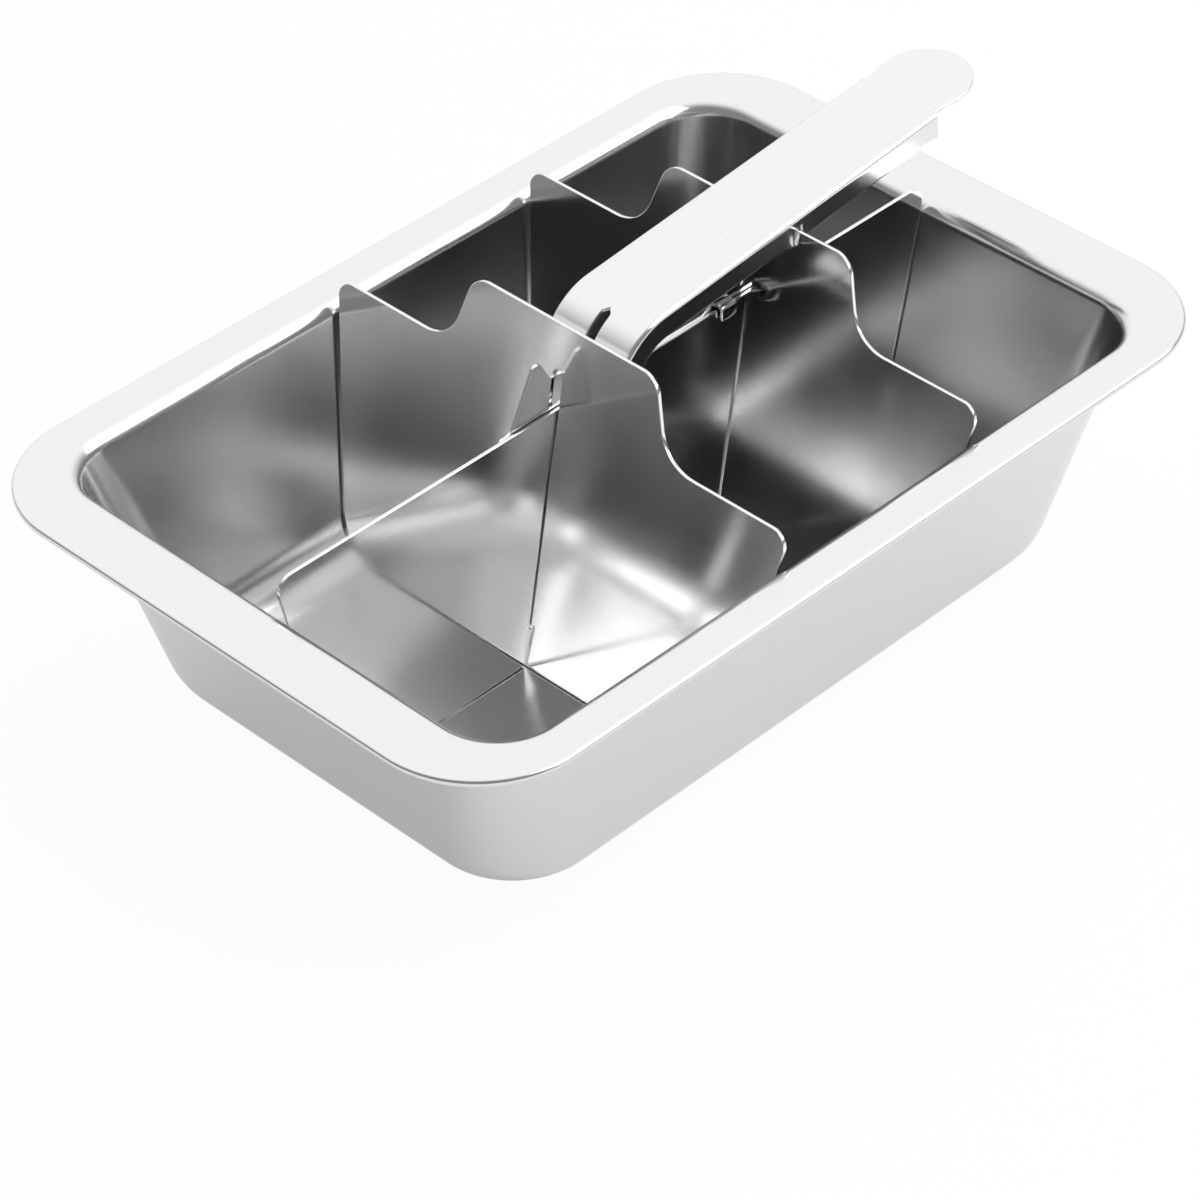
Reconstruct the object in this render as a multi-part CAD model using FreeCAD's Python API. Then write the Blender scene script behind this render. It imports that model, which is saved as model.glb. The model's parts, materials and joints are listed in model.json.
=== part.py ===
import FreeCAD, Part
import math
import os

# A steel ice tray with a loose divider grid that a lever racks forward to crack the ice free.
# Row frame in millimetres: origin at the centre of the tray's underside, +Z up,
# +X along the tray toward the free end of the lever, +Y across the tray.

os.makedirs("parts", exist_ok=True)

# Tray pan
TRAY_LENGTH = 210.0
TRAY_WIDTH = 141.0
TRAY_HEIGHT = 54.0
RIM_CORNER_RADIUS = 23.6
SHEET = 0.8
HEM_THICKNESS = 1.7
HEM_WIDTH = 3.2
WALL_TOP_HALF_X = 90.2
WALL_TOP_HALF_Y = 60.4
WALL_TOP_DEPTH = 3.0
WALL_DRAFT_X = 12.5
WALL_DRAFT_Y = 9.8
WALL_TOP_CORNER = 13.0
WALL_FLOOR_CORNER = 18.5
FLOOR_RADIUS = 10.3
RIM_RADIUS = 3.4

# Grid heights above the tray's underside
FLOOR_TOP = SHEET
GRID_FLOOR_GAP = 0.4
DIVIDER_TOP = TRAY_HEIGHT + 4.4
GRID_WALL_GAP = 0.6

# Long divider
PLATE = 0.8
DIVIDER_Y = -0.9
DIVIDER_FRONT_SHORT = 2.4
DIVIDER_TOP_CORNER = 3.6
DIVIDER_FOOT_CORNER = 10.6

# Cross blades
BLADE = 0.9
BLADE_TILT = 10.3
BLADE_FOOT_X = (-25.5, 28.3)
BLADE_NAMES = ("front_cross_blade", "rear_cross_blade")
BLADE_FOOT_Z = FLOOR_TOP + GRID_FLOOR_GAP
BLADE_SHOULDER = 59.3
BLADE_HUMP = 76.0
BLADE_HUMP_HALF = 25.6
BLADE_SLOT_HALF = 1.25
BLADE_SLOT_FOOT = 7.9
BLADE_SLOT_HEAD = 66.4
BLADE_END_GAP = 0.55
BLADE_FOOT_CORNER = 10.6
BLADE_NOTCH_FRONT = 0.9
BLADE_NOTCH_BACK = 2.4
BLADE_NOTCH_RISE = 0.9

# Sliding plate beside the divider
SLIDE_Y = 0.1
SLIDE_TRAVEL = 6.0
SLIDE_BOTTOM = TRAY_HEIGHT - 14.0
SLIDE_TOP = TRAY_HEIGHT + 4.0
CLIP_FRONT_X = 29.5
CLIP_BACK_X = 33.6
CLIP_LOW = TRAY_HEIGHT + 2.3
CLIP_CLEARANCE = 0.35

# Lever, its pin and the cam studs
PIN_X = -5.3
PIN_Z = TRAY_HEIGHT + 6.3
PIN_RADIUS = 1.5
PIN_RUNNING_GAP = 0.05
STUD_X = -3.4
STUD_Z = TRAY_HEIGHT - 0.2
STUD_RADIUS = 3.6
STUD_END = 12.2
LEVER_SHEET = 0.8
LEVER_SLOPE = 0.1
LEVER_LINE_Z = TRAY_HEIGHT + 20.6
LEVER_HOOK_RADIUS = 14.5
LEVER_HOOK_X = 5.8
LEVER_FLANGE = 5.5
LEVER_FRONT_HALF = 10.5
LEVER_REAR_HALF = 10.1
LEVER_FLANGE_END_X = 83.2
LEVER_TIP_X = 100.5
LEVER_TIP_HALF = 9.9
LEVER_WAIST_HALF = 9.1
LEVER_WAIST_LENGTH = 1.6
LEVER_TOOTH_HANG = 0.4
LEVER_TOE_Z = TRAY_HEIGHT - 2.2
LEVER_SLOT_HALF = 1.1
LEVER_SLOT_END_X = -0.3
LEVER_HALF_REACH = 20.0
LEVER_EYE_RADIUS = 2.6
LEVER_TOE_HALF = 9.4


def vector(x, y, z):
    return FreeCAD.Vector(x, y, z)


def rounded_wire(corners, place):
    """Closed wire through (a, b, radius) corners; place turns (a, b) into a point."""
    edges = []
    count = len(corners)
    last_point = None
    first_point = None
    for index in range(count):
        ax, ay, _ = corners[index - 1]
        px, py, radius = corners[index]
        bx, by, _ = corners[(index + 1) % count]
        to_a = math.hypot(ax - px, ay - py)
        to_b = math.hypot(bx - px, by - py)
        ua = ((ax - px) / to_a, (ay - py) / to_a)
        ub = ((bx - px) / to_b, (by - py) / to_b)
        if radius <= 0:
            start = place(px, py)
            end = start
            arc = None
        else:
            cosine = ua[0] * ub[0] + ua[1] * ub[1]
            half = 0.5 * math.acos(max(-1.0, min(1.0, cosine)))
            tangent = radius / math.tan(half)
            bisector = (ua[0] + ub[0], ua[1] + ub[1])
            size = math.hypot(bisector[0], bisector[1])
            bisector = (bisector[0] / size, bisector[1] / size)
            to_mid = radius / math.sin(half) - radius
            start = place(px + ua[0] * tangent, py + ua[1] * tangent)
            end = place(px + ub[0] * tangent, py + ub[1] * tangent)
            middle = place(px + bisector[0] * to_mid, py + bisector[1] * to_mid)
            arc = Part.Arc(start, middle, end).toShape()
        if last_point is None:
            first_point = start
        elif last_point.distanceToPoint(start) > 1e-6:
            edges.append(Part.LineSegment(last_point, start).toShape())
        if arc is not None:
            edges.append(arc)
        last_point = end
    if last_point.distanceToPoint(first_point) > 1e-6:
        edges.append(Part.LineSegment(last_point, first_point).toShape())
    return Part.Wire(edges)


def side_plate(corners, y_low, thickness):
    """Plate in the XZ plane between y_low and y_low + thickness."""
    wire = rounded_wire(corners, lambda x, z: vector(x, y_low, z))
    return Part.Face(wire).extrude(vector(0, thickness, 0))


def cross_pin(x, z, radius, y_low, y_high):
    """Round pin along Y."""
    return Part.makeCylinder(radius, y_high - y_low, vector(x, y_low, z), vector(0, 1, 0))


def box_between(low, high):
    size = [high[axis] - low[axis] for axis in range(3)]
    return Part.makeBox(size[0], size[1], size[2], vector(*low))


def rectangle_wire(half_x, half_y, radius, z):
    corners = [
        (half_x, -half_y, radius),
        (half_x, half_y, radius),
        (-half_x, half_y, radius),
        (-half_x, -half_y, radius),
    ]
    return rounded_wire(corners, lambda x, y: vector(x, y, z))


def rectangle_prism(half_x, half_y, radius, z_low, z_high):
    face = Part.Face(rectangle_wire(half_x, half_y, radius, z_low))
    return face.extrude(vector(0, 0, z_high - z_low))


def inner_half_x(z):
    """Half length between the tray's inner end walls at height z."""
    drop = TRAY_HEIGHT - WALL_TOP_DEPTH - z
    return WALL_TOP_HALF_X - drop * math.tan(math.radians(WALL_DRAFT_X))


def inner_half_y(z):
    """Half width between the tray's inner side walls at height z."""
    drop = TRAY_HEIGHT - WALL_TOP_DEPTH - z
    return WALL_TOP_HALF_Y - drop * math.tan(math.radians(WALL_DRAFT_Y))


def corner_radius(z):
    """Inner corner radius in plan at height z."""
    depth = TRAY_HEIGHT - WALL_TOP_DEPTH
    share = (depth - z) / (depth - FLOOR_TOP)
    return WALL_TOP_CORNER + share * (WALL_FLOOR_CORNER - WALL_TOP_CORNER)


def drafted_block(z_low, z_high, outset):
    """Tapered block that follows the tray's walls, grown outward by outset."""
    wires = []
    for z in (z_low, z_high):
        wire = rectangle_wire(
            inner_half_x(z) + outset,
            inner_half_y(z) + outset,
            corner_radius(z) + outset,
            z,
        )
        wires.append(wire)
    return Part.makeLoft(wires, True, True)


def edges_at_height(shape, z, tolerance=0.01):
    """Edges that lie wholly in the horizontal plane at height z."""
    found = []
    for edge in shape.Edges:
        box = edge.BoundBox
        if abs(box.ZMin - z) < tolerance and abs(box.ZMax - z) < tolerance:
            found.append(edge)
    return found


def is_inside_hem(edge):
    """True for an edge that lies nearer the middle of the tray than the rim's hem."""
    box = edge.BoundBox
    reach_x = max(abs(box.XMin), abs(box.XMax))
    reach_y = max(abs(box.YMin), abs(box.YMax))
    hem_clear = HEM_WIDTH + 1.0
    return reach_x < TRAY_LENGTH / 2 - hem_clear and reach_y < TRAY_WIDTH / 2 - hem_clear


def tray_pan():
    """Drawn tray: drafted walls, rounded floor, flat rim with a closed hem."""
    outer = drafted_block(0.0, TRAY_HEIGHT, SHEET)
    outer = outer.makeFillet(FLOOR_RADIUS + SHEET, edges_at_height(outer, 0.0))
    flange = rectangle_prism(
        TRAY_LENGTH / 2, TRAY_WIDTH / 2, RIM_CORNER_RADIUS, TRAY_HEIGHT - SHEET, TRAY_HEIGHT
    )
    hem = rectangle_prism(
        TRAY_LENGTH / 2, TRAY_WIDTH / 2, RIM_CORNER_RADIUS, TRAY_HEIGHT - HEM_THICKNESS, TRAY_HEIGHT
    )
    hem_round = 0.48 * HEM_THICKNESS
    hem_edges = edges_at_height(hem, TRAY_HEIGHT - HEM_THICKNESS) + edges_at_height(hem, TRAY_HEIGHT)
    hem = hem.makeFillet(hem_round, hem_edges)
    hem_inside = rectangle_prism(
        TRAY_LENGTH / 2 - HEM_WIDTH,
        TRAY_WIDTH / 2 - HEM_WIDTH,
        RIM_CORNER_RADIUS - HEM_WIDTH,
        TRAY_HEIGHT - HEM_THICKNESS - 1.0,
        TRAY_HEIGHT - SHEET,
    )
    rim = hem.common(flange.fuse(hem)).cut(hem_inside)
    body = outer.fuse(rim)
    cavity = drafted_block(FLOOR_TOP, TRAY_HEIGHT + 2.0, 0.0)
    cavity = cavity.makeFillet(FLOOR_RADIUS, edges_at_height(cavity, FLOOR_TOP))
    body = body.cut(cavity).removeSplitter()
    neck = [edge for edge in edges_at_height(body, TRAY_HEIGHT - SHEET) if is_inside_hem(edge)]
    body = body.makeFillet(RIM_RADIUS - SHEET, neck)
    mouth = [edge for edge in edges_at_height(body, TRAY_HEIGHT) if is_inside_hem(edge)]
    return body.makeFillet(RIM_RADIUS, mouth)


def divider_wall():
    """Long upright wall with foot notches for the blades and a hole for the stud axle."""
    foot = FLOOR_TOP + GRID_FLOOR_GAP
    rear_top = inner_half_x(DIVIDER_TOP) - GRID_WALL_GAP
    rear_foot = inner_half_x(foot) - GRID_WALL_GAP
    corners = [
        (-rear_foot + DIVIDER_FRONT_SHORT, foot, DIVIDER_FOOT_CORNER),
        (rear_foot, foot, DIVIDER_FOOT_CORNER),
        (rear_top, DIVIDER_TOP, DIVIDER_TOP_CORNER),
        (-rear_top + DIVIDER_FRONT_SHORT, DIVIDER_TOP, DIVIDER_TOP_CORNER),
    ]
    plate = side_plate(corners, DIVIDER_Y, PLATE)
    for foot_x in BLADE_FOOT_X:
        notch_top = BLADE_FOOT_Z + BLADE_SLOT_FOOT + BLADE_NOTCH_RISE
        front = foot_x - BLADE_NOTCH_FRONT
        back = foot_x + BLADE_NOTCH_BACK
        notch_corners = [
            (front, foot - 1.0, 0.0),
            (back - 1.3, foot - 1.0, 0.0),
            (back, notch_top, 1.0),
            (front + 0.5, notch_top, 1.0),
        ]
        plate = plate.cut(side_plate(notch_corners, DIVIDER_Y - 1.0, PLATE + 2.0))
    axle_hole = cross_pin(STUD_X, STUD_Z, PIN_RADIUS, DIVIDER_Y - 1.0, DIVIDER_Y + PLATE + 1.0)
    return plate.cut(axle_hole)


def blade_half_width(height):
    """Half width of a blade at a height measured along the blade from its foot."""
    z = BLADE_FOOT_Z + height * math.cos(math.radians(BLADE_TILT))
    return inner_half_y(z) - BLADE_END_GAP


def cross_blade(foot_x):
    """Cross blade: low shoulders, high middle hump, closed middle slot, leaning back."""
    end_foot = blade_half_width(0.0)
    end_top = blade_half_width(BLADE_SHOULDER) - 0.6
    right = [
        (end_foot, 0.0, BLADE_FOOT_CORNER),
        (end_top, BLADE_SHOULDER, 3.4),
        (32.5, BLADE_SHOULDER, 6.2),
        (BLADE_HUMP_HALF + 0.2, BLADE_HUMP - 9.0, 9.0),
        (BLADE_HUMP_HALF - 1.6, BLADE_HUMP, 4.6),
    ]
    left = [(-y, height, radius) for y, height, radius in reversed(right)]
    wire = rounded_wire(right + left, lambda y, height: vector(-BLADE / 2, y, height))
    blade = Part.Face(wire).extrude(vector(BLADE, 0, 0))
    slot_corners = [
        (-BLADE_SLOT_HALF, BLADE_SLOT_FOOT, 0.8),
        (BLADE_SLOT_HALF, BLADE_SLOT_FOOT, 0.8),
        (BLADE_SLOT_HALF, BLADE_SLOT_HEAD, 0.8),
        (-BLADE_SLOT_HALF, BLADE_SLOT_HEAD, 0.8),
    ]
    slot_wire = rounded_wire(slot_corners, lambda y, height: vector(-BLADE, y, height))
    blade = blade.cut(Part.Face(slot_wire).extrude(vector(2 * BLADE, 0, 0)))
    foot_edges = [
        edge for edge in blade.Edges
        if abs(edge.BoundBox.ZMax) < 0.01 and edge.BoundBox.YLength > 20.0
    ]
    blade = blade.makeFillet(0.42, foot_edges)
    blade.rotate(vector(0, 0, 0), vector(0, 1, 0), BLADE_TILT)
    blade.translate(vector(foot_x, 0, BLADE_FOOT_Z))
    return blade


def slide_plate():
    """Thin plate beside the divider; its tabs stand before and behind each blade."""
    rim = TRAY_HEIGHT
    corners = [
        (-30.0, SLIDE_BOTTOM, 2.0),
        (57.0, SLIDE_BOTTOM, 2.0),
        (57.0, SLIDE_TOP, 1.0),
        (55.6, SLIDE_TOP, 1.0),
        (51.3, rim + 19.0, 1.5),
        (42.6, rim + 19.0, 1.0),
        (41.8, rim + 11.6, 0.4),
        (37.6, rim + 11.6, 0.8),
        (34.2, rim + 18.4, 1.5),
        (27.6, SLIDE_TOP, 2.0),
        (3.0, SLIDE_TOP, 2.0),
        (-2.0, rim + 10.6, 2.0),
        (-8.2, rim + 10.6, 1.0),
        (-10.0, rim + 17.0, 0.9),
        (-11.7, rim + 17.0, 0.5),
        (-12.0, rim + 11.6, 0.4),
        (-16.2, rim + 11.6, 0.8),
        (-19.6, rim + 18.4, 1.5),
        (-27.0, SLIDE_TOP, 2.0),
        (-30.0, SLIDE_TOP, 1.0),
    ]
    plate = side_plate(corners, SLIDE_Y, PLATE)
    pin_hole = cross_pin(PIN_X, PIN_Z, PIN_RADIUS + PIN_RUNNING_GAP, SLIDE_Y - 1.0, SLIDE_Y + PLATE + 1.0)
    slot_half = PIN_RADIUS + 0.25
    slot_end_gap = 0.4
    slot_corners = [
        (STUD_X - PIN_RADIUS - slot_end_gap, STUD_Z - slot_half, slot_half - 0.02),
        (STUD_X + SLIDE_TRAVEL + PIN_RADIUS + slot_end_gap, STUD_Z - slot_half, slot_half - 0.02),
        (STUD_X + SLIDE_TRAVEL + PIN_RADIUS + slot_end_gap, STUD_Z + slot_half, slot_half - 0.02),
        (STUD_X - PIN_RADIUS - slot_end_gap, STUD_Z + slot_half, slot_half - 0.02),
    ]
    axle_slot = side_plate(slot_corners, SLIDE_Y - 1.0, PLATE + 2.0)
    plate = plate.cut(pin_hole).cut(axle_slot)
    clip_under = DIVIDER_TOP + CLIP_CLEARANCE
    clip_top = clip_under + PLATE
    clip_outer_y = DIVIDER_Y - CLIP_CLEARANCE - PLATE
    plate_back_y = SLIDE_Y + PLATE
    bridge = box_between((CLIP_FRONT_X, clip_outer_y, clip_under), (CLIP_BACK_X, plate_back_y, clip_top))
    leg = box_between((CLIP_FRONT_X, clip_outer_y, CLIP_LOW), (CLIP_BACK_X, clip_outer_y + PLATE, clip_top))
    root = box_between((CLIP_FRONT_X, SLIDE_Y, SLIDE_TOP - 2.0), (CLIP_BACK_X, plate_back_y, clip_top))
    plate = plate.fuse(bridge).fuse(leg).fuse(root).removeSplitter()
    return plate


def lever_band(shallow, deep):
    """Band of the lever's side view between two depths below its outer line, across the width."""
    slope = math.atan(LEVER_SLOPE)
    centre_z = LEVER_LINE_Z + LEVER_SLOPE * LEVER_HOOK_X - LEVER_HOOK_RADIUS / math.cos(slope)
    reach = LEVER_TIP_X + 4.0 - LEVER_HOOK_X
    front = math.pi
    top = math.pi / 2 + slope
    middle = 0.5 * (front + top)

    def on_arc(depth, angle):
        radius = LEVER_HOOK_RADIUS - depth
        x = LEVER_HOOK_X + radius * math.cos(angle)
        return vector(x, -LEVER_HALF_REACH, centre_z + radius * math.sin(angle))

    def on_line(depth):
        start = on_arc(depth, top)
        return start + vector(reach * math.cos(slope), 0, reach * math.sin(slope))

    def at_toe(depth):
        x = LEVER_HOOK_X - LEVER_HOOK_RADIUS + depth
        return vector(x, -LEVER_HALF_REACH, LEVER_TOE_Z)

    edges = [
        Part.LineSegment(at_toe(shallow), on_arc(shallow, front)).toShape(),
        Part.Arc(on_arc(shallow, front), on_arc(shallow, middle), on_arc(shallow, top)).toShape(),
        Part.LineSegment(on_arc(shallow, top), on_line(shallow)).toShape(),
        Part.LineSegment(on_line(shallow), on_line(deep)).toShape(),
        Part.LineSegment(on_line(deep), on_arc(deep, top)).toShape(),
        Part.Arc(on_arc(deep, top), on_arc(deep, middle), on_arc(deep, front)).toShape(),
        Part.LineSegment(on_arc(deep, front), at_toe(deep)).toShape(),
        Part.LineSegment(at_toe(deep), at_toe(shallow)).toShape(),
    ]
    return Part.Face(Part.Wire(edges)).extrude(vector(0, 2 * LEVER_HALF_REACH, 0))


def lever_half_width(x):
    """Half width of the tapered lever at x."""
    taper = (LEVER_FRONT_HALF - LEVER_REAR_HALF) / (LEVER_FLANGE_END_X - PIN_X)
    return LEVER_FRONT_HALF - taper * (x - PIN_X)


def lever_plan():
    """Tall block with the lever's outline seen from above."""
    low = TRAY_HEIGHT - 10.0
    front_x = LEVER_HOOK_X - LEVER_HOOK_RADIUS - 2.0
    half = [
        (front_x, lever_half_width(front_x), 0.0),
        (LEVER_FLANGE_END_X + 0.4, LEVER_REAR_HALF, 0.4),
        (LEVER_FLANGE_END_X + LEVER_WAIST_LENGTH, LEVER_WAIST_HALF, 1.2),
        (LEVER_TIP_X - LEVER_TIP_HALF - 0.8, LEVER_TIP_HALF, 4.0),
        (LEVER_TIP_X, LEVER_TIP_HALF, LEVER_TIP_HALF - 0.05),
    ]
    mirrored = [(x, -y, radius) for x, y, radius in reversed(half)]
    wire = rounded_wire(half + mirrored, lambda x, y: vector(x, y, low))
    return Part.Face(wire).extrude(vector(0, 0, 60.0))


def lever_inside():
    """Tall block between the inner faces of the lever's side flanges."""
    low = TRAY_HEIGHT - 12.0
    front_x = -20.0
    back_x = LEVER_FLANGE_END_X
    front_half = lever_half_width(front_x) - LEVER_SHEET
    back_half = lever_half_width(back_x) - LEVER_SHEET
    corners = [
        (front_x, -front_half, 0.0),
        (back_x, -back_half, 0.0),
        (back_x, back_half, 0.0),
        (front_x, front_half, 0.0),
    ]
    wire = rounded_wire(corners, lambda x, y: vector(x, y, low))
    return Part.Face(wire).extrude(vector(0, 0, 64.0))


def lever_notch_and_tooth(x, hump_z):
    """Notch that seats on the rear blade's hump, and the small tooth before it."""
    notch = box_between(
        (x - 1.5, -LEVER_HALF_REACH, hump_z - 6.0),
        (x + 1.3, LEVER_HALF_REACH, hump_z + 0.4),
    )
    low_line = LEVER_LINE_Z + LEVER_SLOPE * x - LEVER_FLANGE
    tooth_corners = [
        (x - 3.6, low_line + 1.0, 0.0),
        (x - 2.9, low_line - LEVER_TOOTH_HANG, 0.3),
        (x - 1.5, low_line - LEVER_TOOTH_HANG, 0.3),
        (x - 1.5, low_line + 1.0, 0.0),
    ]
    tooth = side_plate(tooth_corners, -LEVER_HALF_REACH, 2 * LEVER_HALF_REACH)
    return notch, tooth


def release_lever():
    """Channel lever: hooked front end with a forked toe, side flanges, flat round tip."""
    plan = lever_plan()
    inside = lever_inside()
    web = lever_band(0.0, LEVER_SHEET).common(plan)
    skirts = lever_band(LEVER_SHEET, LEVER_FLANGE)
    eye = cross_pin(PIN_X, PIN_Z, LEVER_EYE_RADIUS, -LEVER_HALF_REACH, LEVER_HALF_REACH)
    hump_x = BLADE_FOOT_X[1] + BLADE_HUMP * math.sin(math.radians(BLADE_TILT))
    hump_z = BLADE_FOOT_Z + BLADE_HUMP * math.cos(math.radians(BLADE_TILT))
    notch, tooth = lever_notch_and_tooth(hump_x, hump_z)
    past_end = box_between(
        (LEVER_FLANGE_END_X, -LEVER_HALF_REACH, 0.0),
        (LEVER_TIP_X + 20.0, LEVER_HALF_REACH, TRAY_HEIGHT + 60.0),
    )
    below_pin = box_between(
        (-14.0, -LEVER_HALF_REACH, 0.0),
        (0.0, LEVER_HALF_REACH, PIN_Z),
    )
    skirts = skirts.fuse(tooth).cut(notch).cut(past_end).cut(below_pin).fuse(eye)
    skirts = skirts.common(plan).cut(inside)
    lever = web.fuse(skirts).removeSplitter()
    front_x = LEVER_HOOK_X - LEVER_HOOK_RADIUS - 4.0
    toe_back_x = front_x + 5.1
    toe_side = box_between(
        (front_x, LEVER_TOE_HALF, 0.0),
        (toe_back_x, LEVER_HALF_REACH, PIN_Z - LEVER_EYE_RADIUS),
    )
    lever = lever.cut(toe_side)
    lever = lever.cut(toe_side.mirror(vector(0, 0, 0), vector(0, 1, 0)))
    slot_corners = [
        (front_x, -LEVER_SLOT_HALF, 0.0),
        (LEVER_SLOT_END_X, -LEVER_SLOT_HALF, LEVER_SLOT_HALF - 0.05),
        (LEVER_SLOT_END_X, LEVER_SLOT_HALF, LEVER_SLOT_HALF - 0.05),
        (front_x, LEVER_SLOT_HALF, 0.0),
    ]
    slot_wire = rounded_wire(slot_corners, lambda x, y: vector(x, y, 0.0))
    slot = Part.Face(slot_wire).extrude(vector(0, 0, LEVER_LINE_Z + 2.0))
    lever = lever.cut(slot)
    pin_hole = cross_pin(PIN_X, PIN_Z, PIN_RADIUS, -LEVER_HALF_REACH, LEVER_HALF_REACH)
    return lever.cut(pin_hole).removeSplitter()


def lever_pivot_pin():
    """Headed pin through both lever flanges and the sliding plate."""
    head_inside = LEVER_FRONT_HALF + 0.1
    head_outside = head_inside + 0.8
    pin = cross_pin(PIN_X, PIN_Z, PIN_RADIUS, -head_inside, head_inside)
    for low, high in ((-head_outside, -head_inside), (head_inside, head_outside)):
        pin = pin.fuse(cross_pin(PIN_X, PIN_Z, 2.2, low, high))
    return pin.removeSplitter()


def cam_axle():
    return cross_pin(STUD_X, STUD_Z, PIN_RADIUS, -8.0, 8.0)


def cam_stud(side):
    """Round stud that the lever's toe bears on, pressed on one end of the axle."""
    inner = DIVIDER_Y if side < 0 else -(SLIDE_Y + PLATE + 0.3)
    stud = cross_pin(STUD_X, STUD_Z, STUD_RADIUS, -STUD_END, inner)
    stud = stud.makeChamfer(0.3, [edge for edge in stud.Edges if abs(edge.BoundBox.YMax + STUD_END) < 0.01])
    stud = stud.cut(cross_pin(STUD_X, STUD_Z, PIN_RADIUS, -8.0, inner + 1.0))
    if side > 0:
        stud = stud.mirror(vector(0, 0, 0), vector(0, 1, 0))
    return stud


solids = {
    "tray_pan": tray_pan(),
    "divider_wall": divider_wall(),
    "slide_plate": slide_plate(),
    "release_lever": release_lever(),
    "lever_pivot_pin": lever_pivot_pin(),
    "cam_axle": cam_axle(),
    "cam_stud_right": cam_stud(-1),
    "cam_stud_left": cam_stud(1),
}
for blade_name, blade_x in zip(BLADE_NAMES, BLADE_FOOT_X):
    solids[blade_name] = cross_blade(blade_x)

for name, solid in solids.items():
    if len(solid.Solids) != 1 or not solid.isValid():
        raise RuntimeError(name + " is not one valid solid")
    solid.Solids[0].exportStep("parts/" + name + ".step")
    print(name, round(solid.Volume, 1), "mm3")
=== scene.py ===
"""Looks of a polished steel ice tray with a lift-out divider grid and a release lever.

The row frame has its origin at the centre of the tray's underside, +X along the tray toward the
lever's free end, +Y across it and +Z up. Sizes are in millimetres and meshes in metres.
"""

import json
import logging
import math
from dataclasses import dataclass
from enum import Enum
from typing import Callable, Sequence

import bmesh
import bpy
import numpy as np
from mathutils import Matrix, Vector
from mathutils.geometry import tessellate_polygon

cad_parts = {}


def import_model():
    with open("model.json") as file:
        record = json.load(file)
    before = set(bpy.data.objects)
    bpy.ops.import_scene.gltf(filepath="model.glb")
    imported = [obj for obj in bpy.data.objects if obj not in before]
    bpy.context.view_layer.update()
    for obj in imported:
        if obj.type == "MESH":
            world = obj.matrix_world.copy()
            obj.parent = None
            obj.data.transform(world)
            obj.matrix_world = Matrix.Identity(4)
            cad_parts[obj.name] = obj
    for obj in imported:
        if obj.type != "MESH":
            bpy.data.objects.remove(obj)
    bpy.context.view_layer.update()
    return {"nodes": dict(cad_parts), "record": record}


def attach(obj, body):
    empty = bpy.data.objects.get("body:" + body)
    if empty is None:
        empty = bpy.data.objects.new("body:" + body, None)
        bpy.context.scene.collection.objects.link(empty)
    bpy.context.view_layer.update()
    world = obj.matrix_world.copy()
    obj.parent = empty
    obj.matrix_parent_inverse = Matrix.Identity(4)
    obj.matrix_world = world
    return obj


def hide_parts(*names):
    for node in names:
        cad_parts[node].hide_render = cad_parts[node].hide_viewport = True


LOG = logging.getLogger("ice_tray")
MM = 0.001
QUARTER = 0.5 * math.pi
WHITE = (1.0, 1.0, 1.0, 1.0)
RIM_TOP = 54.0
Array = np.ndarray
Corner = tuple[float, float, float]


class Slot(Enum):
    """Material slots of the record."""

    PAN = "pan_steel"
    DIVIDER = "divider_steel"
    BLADE = "blade_steel"
    LEVER = "lever_steel"
    PIN = "pin_steel"


class Body(Enum):
    """Moving bodies of the record."""

    PAN = "pan"
    GRID = "grid"
    SLIDE = "slide"
    LEVER = "lever"
    FRONT_BLADE = "front_blade"
    REAR_BLADE = "rear_blade"


@dataclass(frozen=True)
class Axis:
    """Line across the tray that holes and round parts are centred on."""

    x: float
    z: float


PIN = Axis(-5.3, 60.3)
CAM = Axis(-3.4, 53.8)


@dataclass(frozen=True)
class Graph:
    """Adds nodes to a node tree and sets their inputs."""

    tree: bpy.types.NodeTree

    def wire(self, node: bpy.types.Node, inputs: dict[str | int, object]) -> None:
        """Sets inputs of a node.

        Args:
            node: the node.
            inputs: for each input its value, or the output or node that feeds it.
        """
        for name, value in inputs.items():
            if isinstance(value, bpy.types.Node):
                value = value.outputs[0]
            if isinstance(value, bpy.types.NodeSocket):
                self.tree.links.new(value, node.inputs[name])
            else:
                node.inputs[name].default_value = value

    def add(self, kind: str, inputs: dict[str | int, object], **settings: str) -> bpy.types.Node:
        """Adds a node.

        Args:
            kind: its type, without the word ShaderNode.
            inputs: its inputs, as wire takes them.
            settings: its other properties.

        Returns:
            The node.
        """
        node = self.tree.nodes.new("ShaderNode" + kind)
        for name, value in settings.items():
            setattr(node, name, value)
        self.wire(node, inputs)
        return node


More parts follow.
